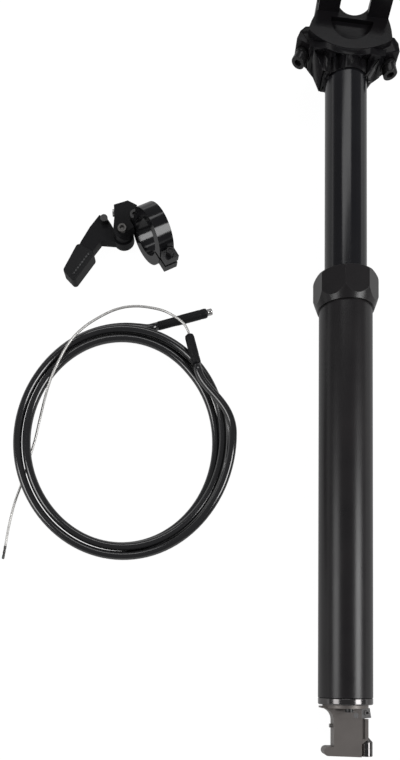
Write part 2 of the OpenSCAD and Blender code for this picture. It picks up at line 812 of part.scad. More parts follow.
module remote_bar_clamp() {
  color(gloss_black) difference() {
    union() {
      at_ring() {
        cylinder(r = ring_r, h = ring_w, center = true, $fn = 96);
        translate([ring_r - 3, -ear_thick, 0.5 - ring_w / 2])
          cube([ear_reach - ring_r + 3, 2 * ear_thick, ring_w - 1]);
      }
      on_table(3.5) translate(perch_screw_xy) cylinder(r = perch_boss_r, h = perch_z - 3.5, $fn = 48);
    }
    at_ring() {
      cylinder(d = bar_d, h = bar_cut, center = true, $fn = 96);
      translate([0, -ear_gap / 2, -ring_w]) cube([ear_reach + 5, ear_gap, 2 * ring_w]);
      translate([clamp_screw_x, 0, 0]) cross_bar(clamp_screw_r + seat_fit, ear_thick + 5, $fn = 32);
    }
    on_table(4) translate(perch_screw_xy)
      cylinder(r = perch_screw_r + seat_fit, h = perch_z + perch_h, $fn = 32);
    on_table(perch_z + perch_h) translate(perch_screw_xy)
      cylinder(r = perch_screw_head_r + free_gap, h = 20, $fn = 48);
  }
}

module remote_clamp_bolt() {
  color(steel) at_ring() translate([clamp_screw_x, 0, 0]) difference() {
    union() {
      translate([0, -0.4, 0]) cross_bar(clamp_screw_r, ear_thick - 0.2, $fn = 32);
      translate([0, -ear_thick - 1.5, 0]) cross_bar(2.4, 1.5, $fn = 32);
    }
    translate([0, -ear_thick - 2.5, 0]) rotate([90, 0, 0]) cylinder(r = 1.4, h = 3, $fn = 6);
  }
}

module remote_perch() {
  stop_h = perch_h / 2;
  color(gloss_black) difference() {
    on_table(perch_z) translate(pivot_xy) {
      linear_extrude(height = perch_h) polygon(perch_points);
      cylinder(r = hub_r - 1, h = perch_h);
    }
    at_ring() cylinder(r = ring_r + seat_fit, h = ring_w + 2, center = true, $fn = 96);
    at_ring() cylinder(r = bar_d / 2 + 0.6, h = bar_cut, center = true, $fn = 96);
    on_table(0) translate(pivot_xy) cylinder(r = pivot_r + seat_fit, h = 30, $fn = 32);
    on_table(0) translate(perch_screw_xy) cylinder(r = perch_screw_r + seat_fit, h = 30, $fn = 32);
    on_table(perch_z + stop_h) translate(stop_xy) rotate([0, 90, 0]) {
      translate([0, 0, -5]) cylinder(r = 2.1 + seat_fit, h = 10, $fn = 32);
      cylinder(r = wire_hole_r, h = 30, $fn = 24);
    }
  }
}

module remote_perch_screw() {
  color(steel) on_table(0) translate(perch_screw_xy) difference() {
    union() {
      translate([0, 0, 4.4]) cylinder(r = perch_screw_r, h = perch_z + perch_h - 4, $fn = 32);
      translate([0, 0, perch_z + perch_h]) cylinder(r = perch_screw_head_r, h = 1.8, $fn = 48);
    }
    translate([0, 0, perch_z + perch_h + 0.6]) cylinder(r = 1.5, h = 3, $fn = 6);
  }
}

module remote_cable_stop() {
  color(steel) on_table(perch_z + perch_h / 2) translate(stop_xy) rotate([0, 90, 0]) difference() {
    translate([0, 0, -0.7]) cylinder(r = 2.1, h = 5.7, $fn = 32);
    translate([0, 0, -2]) cylinder(r = wire_hole_r, h = 10, $fn = 24);
  }
}

module remote_pivot_bolt() {
  top = perch_z + perch_h;
  color(steel) on_table(0) translate(pivot_xy) difference() {
    union() {
      translate([0, 0, 1]) cylinder(r = pivot_r, h = top - 0.5, $fn = 32);
      translate([0, 0, top]) cylinder(r = pivot_r + 0.8, h = 2, $fn = 48);
    }
    translate([0, 0, top + 0.8]) cylinder(r = 1.4, h = 2, $fn = 6);
  }
}

module remote_pivot_nut() {
  color(steel) on_table(0.5) translate(pivot_xy) difference() {
    cylinder(r = pivot_r + 1.5, h = lever_z - 0.8, $fn = 6);
    translate([0, 0, -1]) cylinder(r = pivot_r + seat_fit, h = 6, $fn = 32);
  }
}

module remote_return_spring() {
  color(steel) on_table(lever_z + lever_t - 1.7) translate(pivot_xy)
    sleeve(hub_r - 1.7, pivot_r + 0.6, 0, 2);
}

// Plan of the lever with the tongue that carries the pad
module lever_plan() {
  polygon(lever_points);
  circle(r = hub_r);
}

module remote_lever_arm() {
  color(satin_black) on_table(lever_z) difference() {
    translate(pivot_xy) difference() {
      linear_extrude(height = lever_t) lever_plan();
      translate([0, 0, -1]) cylinder(r = pivot_r + run_fit, h = lever_t + 2, $fn = 32);
      translate([0, 0, lever_t - 2]) cylinder(r = hub_r - 1.3, h = 3);
    }
    translate(concat(anchor_xy, -1)) cylinder(r = 2.3 + seat_fit, h = lever_t + 2, $fn = 32);
  }
}

module remote_thumb_pad() {
  corner_r = 2.2;
  under = 1.8;
  over = 1;
  nubs = 7;
  middle = (pad_points[0] + pad_points[1] + pad_points[2] + pad_points[3]) / 4;
  color(rubber_black) on_table(lever_z - under) translate(pivot_xy) difference() {
    union() {
      linear_extrude(height = lever_t + under + over) hull() for (p = pad_points)
        translate(p + corner_r * (middle - p) / norm(middle - p)) circle(r = corner_r, $fn = 24);
      for (i = [1:nubs]) {
        share = i / (nubs + 1);
        translate(pad_points[1] * (1 - share) + pad_points[2] * share)
          cylinder(r = 0.9, h = lever_t + under + over - 1, $fn = 16);
      }
    }
    translate([0, 0, under]) linear_extrude(height = lever_t) lever_plan();
  }
}

module remote_cable_anchor() {
  color(steel) on_table(lever_z) translate(anchor_xy) difference() {
    cylinder(r = 2.3, h = lever_t + 3.6, $fn = 32);
    translate([0, 0, lever_t + 1.9]) rotate([0, 90, 0])
      cylinder(r = wire_hole_r, h = 8, center = true, $fn = 24);
  }
}

// Eased step from 0 to 1 between two turns of the coil
function ease(u, from, to) =
  let (t = min(1, max(0, (u - from) / (to - from)))) t * t * (3 - 2 * t);

// Rise of the strands where the wire passes under them
function hump(a) =
  let (off = (a - hump_at + 540) % 360 - 180) hump_rise * exp(-pow(off / hump_wide, 2));

// Centre of the coiled housing after u turns: it spirals in below and out again above
function coil_point(u) =
  let (a = coil_start + 360 * u,
    s = coil_step * min(u, coil_turns - u),
    layer = ease(u, coil_turn_back - 0.25, coil_turn_back + 0.25),
    lift = 1.15 * ease(u, coil_turns - 0.22, coil_turns))
  [coil_xy[0] + (coil_rx - s) * cos(a), coil_xy[1] + (coil_ry - s) * sin(a),
    housing_r + coil_step * (layer + lift) + hump(a)];

// Point at share t of a cubic curve
function cubic(a, b, c, d, t) =
  a * pow(1 - t, 3) + b * 3 * t * pow(1 - t, 2) + c * 3 * t * t * (1 - t) + d * pow(t, 3);

// Rounds a hand-chosen route through its points
function rounded(p, steps) = concat([for (i = [0:len(p) - 2], k = [0:steps - 1])
  let (t = k / steps, a = p[max(0, i - 1)], b = p[i], c = p[i + 1], d = p[min(len(p) - 1, i + 2)])
  b + (c - a) * t / 2 + (2 * a - 5 * b + 4 * c - d) * t * t / 2 + (3 * b - a - 3 * c + d) * t * t * t / 2],
  [p[len(p) - 1]]);

function unit(v) = v / norm(v);

// Both ends of the housing: where the boots start and the way they point
long_root = [-112.5, -0.4, boot_r + 0.05];
long_way = unit([0.96, 0.28, 0]);
long_len = 31;
short_root = [-88.9, -29.2, housing_r + 2.15 * coil_step + 0.2];
short_way = unit([-0.258, 0.966, 0]);
short_len = 18.2;

// The wire from the short boot over the coil, down inside it and out under its left side
wire_points = [short_root + short_way * short_len, short_root + short_way * (short_len + 3),
  [-97, -4.5, 14.4], [-102.4, 0, 14], [-111, 4.4, 13.4], [-125.5, 6.8, 12.9], [-138.7, 4.6, 12.7],
  [-152.8, -3.2, 12.9],
  [-162.5, -11.7, 13], [-168.9, -21, 12.8], [-175, -33.4, 11.9], [-178.5, -41, 9.6], [-181.6, -49.2, 6.4],
  [-185.4, -62, 2.6], [-188, -73, 1.1], [-191, -84, 0.9], [-195, -99, 0.85], [-199.5, -113.1, 0.85],
  [-202.5, -127, 0.85], [-204.4, -140, 0.85]];
wire_end = [-205.6, -148, 0.85];

rings_per_turn = 24;
lead_steps = 4;
coil_last = coil_point(coil_turns);
coil_first = coil_point(0);
long_lead = long_root - long_way * housing_d;
short_lead = short_root - short_way * housing_d;
housing_path = concat(
  [long_root, long_lead],
  [for (k = [1:lead_steps - 1])
    cubic(long_lead, long_lead - 3 * long_way, coil_first + [3, 0, 0], coil_first, k / lead_steps)],
  [for (k = [0:floor(coil_turns * rings_per_turn)]) coil_point(k / rings_per_turn)],
  [coil_last],
  [for (k = [1:2 * lead_steps - 1])
    cubic(coil_last, coil_last + [0, 19.5, 0], short_lead - 13 * short_way, short_lead,
      k / (2 * lead_steps))],
  [short_lead, short_root]);
wire_path = rounded(wire_points, 4);

// Least gap of the housing to itself, on points more than half a turn apart
half_turn = rings_per_turn / 2;
self_gap = min([for (i = [0:len(housing_path) - 1], j = [i + half_turn:1:len(housing_path) - 1])
  norm(housing_path[i] - housing_path[j])]) - housing_d;
wire_gap = min([for (p = wire_path, q = housing_path) norm(p - q)]) - housing_r - wire_r;
echo(least_gap_of_coil = self_gap, least_gap_of_wire = wire_gap);

// A round cord swept along a path, its faces triangles
module swept(path, r, sides) {
  n = len(path);
  points = [for (i = [0:n - 1])
    let (way = unit(path[min(n - 1, i + 1)] - path[max(0, i - 1)]),
      across_way = unit(cross([0, 0, 1], way)), up = cross(way, across_way))
    for (k = [0:sides - 1]) path[i] + r * (cos(360 * k / sides) * across_way + sin(360 * k / sides) * up)];
  walls = [for (i = [0:n - 2], k = [0:sides - 1])
    let (a = i * sides + k, b = i * sides + (k + 1) % sides)
    for (f = [[a, a + sides, b + sides], [a, b + sides, b]]) f];
  first = [for (k = [1:sides - 2]) [0, k, k + 1]];
  last = [for (k = [1:sides - 2]) [(n - 1) * sides, (n - 1) * sides + k + 1, (n - 1) * sides + k]];
  polyhedron(points = points, faces = concat(walls, first, last));
}

// A round bar from one point to another
module bar_between(from, to, r) {
  way = to - from;
  translate(from) rotate([0, acos(way[2] / norm(way)), atan2(way[1], way[0])])
    cylinder(r = r, h = norm(way), $fn = 32);
}

module cable_housing() {
  color(gloss_black) on_table(0) swept(housing_path, housing_r, 6);
}

module housing_boot_long() {
  color(rubber_black) on_table(0) bar_between(long_root, long_root + long_way * long_len, boot_r);
}

module housing_boot_short() {
  color(rubber_black) on_table(0) bar_between(short_root, short_root + short_way * short_len, boot_r);
}

module cable_nipple() {
  from = long_root + long_way * long_len;
  color(steel) on_table(0) bar_between(from, from + long_way * 3.4, 2);
}

module inner_wire() {
  color(steel) on_table(0) swept(wire_path, wire_r, 8);
}

module wire_tip() {
  from = wire_points[len(wire_points) - 1];
  color(satin_black) on_table(0) bar_between(from, wire_end, wire_r + 0.05);
}

outer_tube();
collar_nut();
wiper_seal();
collar_o_ring();
upper_bushing();
base_foot();
piston_rod();
rod_piston();
rod_lock_nut();
actuator_bracket();
housing_stop_sleeve();
bracket_screws();
bracket_grub_screw();
arm_pivot_pin();
arm_return_spring();
release_pin();
actuator_arm();
cable_barrel();
barrel_grub_screw();
stanchion();
seat_head();
gas_cylinder();
cylinder_end_plug();
cylinder_seal_head();
top_out_bumper();
floating_piston();
centring_ring();
lower_bushing();
guide_keys();
top_fixing_bolt();
lower_cradle();
upper_clamp();
front_barrel_nut();
rear_barrel_nut();
front_clamp_bolt();
front_washer();
rear_clamp_bolt();
rear_washer();
remote_bar_clamp();
remote_clamp_bolt();
remote_perch();
remote_perch_screw();
remote_cable_stop();
remote_pivot_bolt();
remote_pivot_nut();
remote_return_spring();
remote_lever_arm();
remote_thumb_pad();
remote_cable_anchor();
cable_housing();
housing_boot_long();
housing_boot_short();
cable_nipple();
inner_wire();
wire_tip();
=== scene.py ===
# %% [markdown]
# # A dropper seatpost, its thumb remote and its cable
#
# A dropper seatpost is a telescope for a saddle: a thin black tube slides in a thicker one. A thumb lever on the
# handlebar pulls a cable, and the cable opens a valve at the foot of the post. Here the three lie on a white
# table, before they are fitted to a bicycle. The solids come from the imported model, and this file dresses them.

import json
import math

import bmesh
import bpy
import numpy as np
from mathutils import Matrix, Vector


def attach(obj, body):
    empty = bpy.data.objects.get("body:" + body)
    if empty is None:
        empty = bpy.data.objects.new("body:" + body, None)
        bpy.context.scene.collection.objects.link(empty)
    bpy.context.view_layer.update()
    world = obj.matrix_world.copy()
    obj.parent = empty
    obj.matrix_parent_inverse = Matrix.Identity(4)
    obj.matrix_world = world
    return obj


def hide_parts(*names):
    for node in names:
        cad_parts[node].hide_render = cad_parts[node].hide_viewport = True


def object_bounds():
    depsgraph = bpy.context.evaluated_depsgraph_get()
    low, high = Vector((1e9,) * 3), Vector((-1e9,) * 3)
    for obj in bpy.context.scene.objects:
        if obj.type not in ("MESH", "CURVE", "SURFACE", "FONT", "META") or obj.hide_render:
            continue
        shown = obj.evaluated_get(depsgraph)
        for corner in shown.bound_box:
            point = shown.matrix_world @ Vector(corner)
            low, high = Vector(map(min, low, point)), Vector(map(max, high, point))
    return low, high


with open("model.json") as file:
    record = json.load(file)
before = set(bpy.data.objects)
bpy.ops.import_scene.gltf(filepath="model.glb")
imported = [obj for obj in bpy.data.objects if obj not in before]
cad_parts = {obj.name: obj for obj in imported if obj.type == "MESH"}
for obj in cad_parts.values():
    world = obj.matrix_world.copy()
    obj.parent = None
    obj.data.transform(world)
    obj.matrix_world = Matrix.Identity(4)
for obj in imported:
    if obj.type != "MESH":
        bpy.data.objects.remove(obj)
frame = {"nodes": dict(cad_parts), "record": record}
cad_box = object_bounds()
nodes = frame["nodes"]
scene = bpy.context.scene
MM = 0.001

# %% [markdown]
# ## The table
#
# The post leans a little, because it rests on its foot and on the wider saddle cradle. The table is the lowest
# point of the model. Heights in this file are measured from it, and `on_table` moves them to the model's own.

# %% Table height
table_z = cad_box[0].z
on_table = np.array([0, 0, table_z])
print("table at", round(table_z / MM, 2), "mm")

# %% [markdown]
# ## The camera
#
# The picture was taken from above, level with the foot of the post, and then cut down to its upper part. A shifted
# lens says the same thing: the camera looks almost straight down, and the frame sits above the middle of its view.

# %% Camera
PICTURE = (400, 760)  # pixels across and down
SENSOR = 36.0  # mm along the picture's longer side
EYE = np.array([-84.87, -229.26, 428.65]) * MM
TILT, ROLL = math.radians(4.584), math.radians(0.622)
FOCAL_PIXELS, MIDDLE_ROW = 746.0, 635.0
camera_data = bpy.data.cameras.new("camera")
camera_data.sensor_width = SENSOR
camera_data.lens = SENSOR * FOCAL_PIXELS / PICTURE[1]
camera_data.shift_y = (MIDDLE_ROW - PICTURE[1] / 2) / PICTURE[1]
camera_data.clip_start, camera_data.clip_end = 0.01, 50
camera = bpy.data.objects.new("camera", camera_data)
camera.rotation_mode = "ZYX"
camera.rotation_euler = (TILT, 0, ROLL)
camera.location = EYE
scene.collection.objects.link(camera)
scene.camera = camera
print("lens", round(camera_data.lens, 2), "mm, shift", round(camera_data.shift_y, 4))

# %% [markdown]
# ## Surfaces from grids
#
# Every new piece is a grid of points with two parameters, one along the piece and one around it. A grid that closes
# on itself needs one column of faces more, and flat ends need a fan to a middle point.


# %% Grid helpers
def grid_mesh(name, points, uv=None):
    """Points [rows, columns, 3] closed round the columns: quads between neighbours, and a fan on each end ring."""
    rows, columns = points.shape[:2]
    i, k = np.meshgrid(np.arange(rows - 1), np.arange(columns), indexing="ij")
    n = (k + 1) % columns
    quads = np.stack([i * columns + k, i * columns + n, (i + 1) * columns + n, (i + 1) * columns + k], -1)
    ring = np.arange(columns)
    beside = (ring + 1) % columns
    last = (rows - 1) * columns
    low = np.stack([np.full(columns, rows * columns), beside, ring], -1)
    high = np.stack([np.full(columns, rows * columns + 1), last + ring, last + beside], -1)
    faces = quads.reshape(-1, 4).tolist() + low.tolist() + high.tolist()
    ends = np.stack([points[0].mean(0), points[-1].mean(0)])
    verts = np.concatenate([points.reshape(-1, 3), ends])
    mesh = bpy.data.meshes.new(name)
    mesh.from_pydata(verts.tolist(), [], faces)
    mesh.polygons.foreach_set("use_smooth", np.ones(len(faces), bool))
    if uv is not None:
        corner = np.empty(len(mesh.loops), np.int32)
        mesh.loops.foreach_get("vertex_index", corner)
        flat = np.concatenate([uv.reshape(-1, 2), np.zeros((len(ends), 2))])
        mesh.uv_layers.new(name="UVMap").data.foreach_set("uv", flat[corner].ravel().astype(np.float32))
    mesh.validate()
    piece = bpy.data.objects.new(name, mesh)
    scene.collection.objects.link(piece)
    return piece


def unit(v):
    """Vectors along the last axis, each divided by its own length."""
    return v / np.linalg.norm(v, axis=-1, keepdims=True)


def tube_grid(path, radius, sides, lobes=0, lobe_depth=0.0, lay_length=1.0):
    """A circle carried along a path; lobes that twist once per lay_length ripple its radius like strands."""
    way = unit(np.gradient(path, axis=0))
    side = unit(np.cross(np.array([0.0, 0.0, 1.0]), way))
    up = np.cross(way, side)
    steps = np.linalg.norm(np.diff(path, axis=0), axis=1)
    s = np.concatenate([[0], np.cumsum(steps)])
    a = np.arange(sides) * 2 * np.pi / sides
    twist = 2 * np.pi * s[:, None] / lay_length
    r = radius * (1 - lobe_depth * (0.5 - 0.5 * np.cos(lobes * (a[None] - twist))))
    points = path[:, None] + r[..., None] * (
        np.cos(a)[None, :, None] * side[:, None] + np.sin(a)[None, :, None] * up[:, None]
    )
    uv = np.stack(np.broadcast_arrays(a[None] / (2 * np.pi), s[:, None]), -1)
    return points, uv, s[-1]


# %% [markdown]
# ## The coiled cable
#
# The housing is a tube of plastic over steel, five millimetres thick. It lies in two layers of a flat oval coil,
# which winds inwards below and outwards again above. The route is the same sum as in the solids, only with more
# points: an angle gives the place on the oval, and the height steps up once, half way along. A hump lifts the
# strands where the wire passes under them.

# %% Route of the housing
HOUSING_R, STRAND_STEP = 2.5, 5.5
COIL_MIDDLE = np.array([-133.0, -74.5])
COIL_HALF = np.array([66.5, 73.5])
TURNS, START = 3.77, 84.0
HUMP_AT, HUMP_WIDE, HUMP_RISE = 200.0, 34.0, 2.8
LAYER_HALF = 0.25  # half the turns that the step between the layers takes
END_TURNS, END_LIFT = 0.22, 1.15  # the last turns rise again, by so many strands
COIL_POINTS, HOUSING_SIDES = 420, 24


def ease(u, low, high):
    """A step from 0 to 1 between low and high with level ends."""
    t = np.clip((u - low) / (high - low), 0, 1)
    return t * t * (3 - 2 * t)


def coil(u):
    """Middle of the housing after u turns: an oval that shrinks and grows again, lifted by layer, end and hump."""
    a = START + 360 * u
    inwards = STRAND_STEP * np.minimum(u, TURNS - u)
    from_hump = (a - HUMP_AT + 540) % 360 - 180
    hump = HUMP_RISE * np.exp(-((from_hump / HUMP_WIDE) ** 2))
    layer = ease(u, TURNS / 2 - LAYER_HALF, TURNS / 2 + LAYER_HALF)
    lift = END_LIFT * ease(u, TURNS - END_TURNS, TURNS)
    turn = np.radians(a)
    return np.stack([
        COIL_MIDDLE[0] + (COIL_HALF[0] - inwards) * np.cos(turn),
        COIL_MIDDLE[1] + (COIL_HALF[1] - inwards) * np.sin(turn),
        HOUSING_R + STRAND_STEP * (layer + lift) + hump,
    ], -1)


def cubic(a, b, c, d, steps):
    """A cubic curve from a to d, drawn towards b and c, without its two ends."""
    t = (np.arange(1, steps) / steps)[:, None]
    return a * (1 - t) ** 3 + 3 * b * t * (1 - t) ** 2 + 3 * c * t * t * (1 - t) + d * t**3


# %% [markdown]
# ## From boot to boot
#
# Each end of the housing runs straight into its boot, and a curve joins that straight lead to the coil. A curve's
# pull says how far it keeps the direction that it starts or ends with.

# %% Mesh of the housing
BOOT_R, LONG_LEN, SHORT_LEN = 2.9, 31.0, 18.2
TABLE_GAP, STRAND_GAP = 0.05, 0.2
LONG_PULL, LAST_PULL, SHORT_PULL = 3, 19.5, 13
LEAD = 2 * HOUSING_R
long_root = np.array([-112.5, -0.4, BOOT_R + TABLE_GAP])
long_way = unit(np.array([0.96, 0.28, 0.0]))
short_root = np.array([-88.9, -29.2, HOUSING_R + (1 + END_LIFT) * STRAND_STEP + STRAND_GAP])
short_way = unit(np.array([-0.258, 0.966, 0.0]))
long_lead = long_root - long_way * LEAD
short_lead = short_root - short_way * LEAD
coil_points = coil(np.linspace(0, TURNS, COIL_POINTS))
first, last = coil_points[0], coil_points[-1]
housing_route = np.concatenate([
    [long_root, long_lead],
    cubic(long_lead, long_lead - LONG_PULL * long_way, first + [LONG_PULL, 0, 0], first, 16),
    coil_points,
    cubic(last, last + [0, LAST_PULL, 0], short_lead - SHORT_PULL * short_way, short_lead, 32),
    [short_lead, short_root],
])
housing_route = housing_route * MM + on_table
points, uv, housing_length = tube_grid(housing_route, HOUSING_R * MM, HOUSING_SIDES)
housing = grid_mesh("housing_coil", points, uv)
print("housing", round(housing_length, 3), "m long")

# %% [markdown]
# ## The bare wire
#
# The steel wire comes out of the short boot, crosses the coil and goes under its left side to a crimped tip. Thin
# wires are twisted into it, and the outer ones show as a slanting ripple. The ripple is in the mesh: the tube's
# radius rises and falls nine times around the wire, and the pattern turns as it goes along.

# %% Route and mesh of the wire
WIRE_R, WIRE_SIDES = 0.75, 36
OUTER_WIRES, RIPPLE, LAY_LENGTH = 9, 0.06, 9
wire_marks = np.array([
    short_root + short_way * SHORT_LEN, short_root + short_way * (SHORT_LEN + 3), [-97, -4.5, 14.4],
    [-102.4, 0, 14], [-111, 4.4, 13.4], [-125.5, 6.8, 12.9], [-138.7, 4.6, 12.7], [-152.8, -3.2, 12.9],
    [-162.5, -11.7, 13], [-168.9, -21, 12.8], [-175, -33.4, 11.9], [-178.5, -41, 9.6], [-181.6, -49.2, 6.4],
    [-185.4, -62, 2.6], [-188, -73, 1.1], [-191, -84, 0.9], [-195, -99, 0.85], [-199.5, -113.1, 0.85],
    [-202.5, -127, 0.85], [-204.4, -140, 0.85],
])
wire_end = np.array([-205.6, -148, 0.85])


def rounded(p, steps):
    """A smooth curve through all marks: each span is a cubic whose slopes come from its neighbours."""
    span = np.arange(len(p) - 1)
    a, b, c, d = (p[np.clip(span + k, 0, len(p) - 1)][:, None] for k in (-1, 0, 1, 2))
    t = (np.arange(steps) / steps)[None, :, None]
    spans = b + (c - a) * t / 2 + (2 * a - 5 * b + 4 * c - d) * t**2 / 2 + (3 * b - a - 3 * c + d) * t**3 / 2
    return np.concatenate([spans.reshape(-1, 3), p[-1:]])


wire_route = rounded(wire_marks, 36) * MM + on_table
points, uv, wire_length = tube_grid(
    wire_route, WIRE_R * MM, WIRE_SIDES, lobes=OUTER_WIRES, lobe_depth=RIPPLE, lay_length=LAY_LENGTH * MM
)
wire = grid_mesh("bare_wire", points, uv)
print("wire", round(wire_length, 3), "m long")

# %% [markdown]
# ## Boots, ferrule and crimp
#
# A rubber boot keeps water out of each end of the housing. A boot is round, so a profile of radius along its
# length, carried round the boot's axis, makes it. The shallow groove near one end is where a thumb pulls it back.


# %% Round pieces along an axis
def turned(name, root, way, profile, sides=40):
    """A profile of (distance along, radius) carried round an axis that starts at root and points along way."""
    way = unit(np.asarray(way, float))
    helper = np.array([0.0, 0.0, 1.0]) if abs(way[2]) < 0.9 else np.array([1.0, 0.0, 0.0])
    side = unit(np.cross(helper, way))
    up = np.cross(way, side)
    s, r = np.array(profile, float).T
    a = np.arange(sides) * 2 * np.pi / sides
    ring = np.cos(a)[:, None] * side + np.sin(a)[:, None] * up
    points = np.asarray(root) + s[:, None, None] * way + r[:, None, None] * ring[None]
    return grid_mesh(name, points)


def smooth_profile(marks, steps=10):
    """A rounded line through (distance, radius) marks, for rubber that has no sharp edges."""
    marks = np.array(marks, float)
    t = np.linspace(0, len(marks) - 1, (len(marks) - 1) * steps + 1)
    i = np.minimum(t.astype(int), len(marks) - 2)
    f = (t - i)[:, None]
    f = f * f * (3 - 2 * f)
    return marks[i] * (1 - f) + marks[i + 1] * f


long_marks = [(-0.6, 2.53), (0, 2.66), (9.5, 2.66), (12.5, 2.84), (14, 2.84), (15, 2.9), (26, 2.9), (27, 2.78),
              (28, 2.9), (29.6, 2.9), (30.6, 2.7), (31, 2.2)]
short_marks = [(-0.6, 2.53), (0, 2.85), (0.8, 2.9), (3, 2.9), (4, 2.72), (5, 2.9), (16, 2.86), (17.4, 2.6),
               (18.1, 1.7), (18.2, 0.9)]
long_boot = turned("long_boot", long_root * MM + on_table, long_way, smooth_profile(long_marks) * MM)
short_boot = turned("short_boot", short_root * MM + on_table, short_way, smooth_profile(short_marks) * MM)
ferrule_marks = [(-1, 1.75), (0.2, 1.85), (0.5, 2.0), (1.1, 2.0), (1.25, 1.86), (1.5, 2.0), (2.8, 2.0),
                 (3.25, 1.8), (3.4, 1.4), (3.38, 0.9), (2.6, 0.85), (2.5, 0.2)]
ferrule = turned("wire_end_button", (long_root + long_way * LONG_LEN) * MM + on_table, long_way,
                 np.array(ferrule_marks) * MM)
crimp_way = wire_end - wire_marks[-1]
CRIMP_LEN = float(np.linalg.norm(crimp_way))
crimp_marks = [(-0.3, 0.72), (0, 0.8), (1.6, 0.8), (2.0, 0.68), (2.6, 0.68), (3.0, 0.8), (4.4, 0.8), (4.8, 0.68),
               (5.4, 0.68), (5.8, 0.8), (CRIMP_LEN - 0.5, 0.8), (CRIMP_LEN - 0.1, 0.6), (CRIMP_LEN, 0.3)]
crimp = turned("wire_crimp", wire_marks[-1] * MM + on_table, crimp_way, smooth_profile(crimp_marks, 4) * MM, 24)
print("two boots, a ferrule and a crimp", round(CRIMP_LEN, 1), "mm long")

# %% [markdown]
# ## What the cable's pieces stand for
#
# Each piece rides on a body of the model, takes the place of one solid and has that solid's kind of material. The
# length of the housing and of the wire is measured along each route.

# %% Bodies, solids and lengths
CORD_BODY = "lower_post"
piece_finish = {}
for piece, node, slot in (
    (housing, "cable_housing", "housing_black"), (wire, "inner_wire", "wire_steel"),
    (long_boot, "housing_boot_long", "rubber"), (short_boot, "housing_boot_short", "rubber"),
    (ferrule, "cable_nipple", "steel"), (crimp, "wire_tip", "tip_black"),
):
    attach(piece, CORD_BODY)
    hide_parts(node)
    piece_finish[piece] = slot
print("cords: housing", round(housing_length, 3), "m, wire", round(wire_length, 3), "m")

# %% [markdown]
# ## Beads on the thumb pad
#
# A row of small rubber beads along one edge of the pad keeps a wet thumb from slipping. They are moulded with the
# pad. A string of beads is one turned profile: the radius falls to nearly nothing between each two, and half of
# every bead is sunk in the pad.

# %% Bead string
BEADS, BEAD_R, BEAD_NECK, BEAD_STEPS = 8, 0.75, 0.02, 10
PAD_TOP = 10.0
bead_from, bead_to = np.array([-155.9, 42.4, PAD_TOP]), np.array([-165.6, 28.3, PAD_TOP])
bead_line = bead_to - bead_from
bead_at = np.linspace(0, BEADS, BEADS * BEAD_STEPS + 1)
bead_profile = np.stack([
    bead_at / BEADS * np.linalg.norm(bead_line),
    BEAD_R * np.sqrt(np.abs(np.sin(np.pi * bead_at))) + BEAD_NECK,
], -1)
beads = turned("pad_beads", bead_from * MM + on_table, bead_line, bead_profile * MM, 16)
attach(beads, "remote_lever")
# The beads' finish is lighter than the pad's black: a painted sheen that stands in for the light their domes catch
piece_finish[beads] = "bead_rubber_painted_sheen"
print(BEADS, "beads")

# %% [markdown]
# ## Rounded edges
#
# A machined or forged edge is never perfectly sharp: it was broken with a file, tumbled or cast with a small
# radius, and that thin round catches the light. Each solid that shows gets a copy whose flat triangles are joined
# again, and a bevel rounds only the edges that turn sharply. The bevel's width says how the piece was made: wide
# on the forged head, narrow on turned steel. The collar's flats meet at blunt corners, so it needs a smaller turn.

# %% Rounded copies of the solids
SHARP_TURN, COLLAR_TURN, FLAT_TURN = 32.0, 18.0, 0.8  # degrees between two faces
WELD = 2e-6  # m between points that are one
BEVEL_STEPS = 3


def softened(node, width, turn):
    """A copy of a solid's mesh: flat triangles joined, and edges sharper than the turn rounded to a width in mm."""
    mesh = nodes[node].data.copy()
    work = bmesh.new()
    work.from_mesh(mesh)
    bmesh.ops.remove_doubles(work, verts=work.verts, dist=WELD)
    bmesh.ops.dissolve_limit(work, angle_limit=math.radians(FLAT_TURN), verts=work.verts, edges=work.edges)
    work.to_mesh(mesh)
    work.free()
    mesh.polygons.foreach_set("use_smooth", np.ones(len(mesh.polygons), bool))
    mesh.set_sharp_from_angle(angle=math.radians(turn))
    piece = bpy.data.objects.new(node + "_round", mesh)
    scene.collection.objects.link(piece)
    bevel = piece.modifiers.new("edge", "BEVEL")
    bevel.limit_method, bevel.angle_limit = "ANGLE", math.radians(turn)
    bevel.width, bevel.segments = width * MM, BEVEL_STEPS
    bevel.harden_normals = True
    return piece


EDGES = {
    "seat_head": 0.9, "lower_cradle": 0.7, "upper_clamp": 0.6, "front_clamp_bolt": 0.3, "rear_clamp_bolt": 0.3,
    "front_washer": 0.2, "rear_washer": 0.2, "front_barrel_nut": 0.3, "rear_barrel_nut": 0.3, "collar_nut": 0.35,
    "base_foot": 0.3, "actuator_bracket": 0.35, "actuator_arm": 0.3, "cable_barrel": 0.2,
    "bracket_grub_screw": 0.12, "housing_stop_sleeve": 0.25, "remote_bar_clamp": 0.45, "remote_clamp_bolt": 0.3,
    "remote_perch": 0.4, "remote_perch_screw": 0.2, "remote_lever_arm": 0.5, "remote_thumb_pad": 0.6,
    "remote_pivot_bolt": 0.3, "remote_cable_anchor": 0.25,
}
body_of = {n: body for body, names in frame["record"]["behaviour"]["bodies"].items() for n in names}
slot_of = {s["node"]: s["material_slot"] for s in frame["record"]["subparts"]}
rounded_pieces = {}
for node, width in EDGES.items():
    piece = softened(node, width, COLLAR_TURN if node == "collar_nut" else SHARP_TURN)
    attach(piece, body_of[node])
    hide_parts(node)
    rounded_pieces[node] = piece
print(len(rounded_pieces), "solids with rounded edges")

# %% [markdown]
# ## Wear
#
# One node group does the work of wear: slow patches change the colour a little, fine grain changes how sharply
# light is mirrored, and the same grain lifts the surface by a hair.


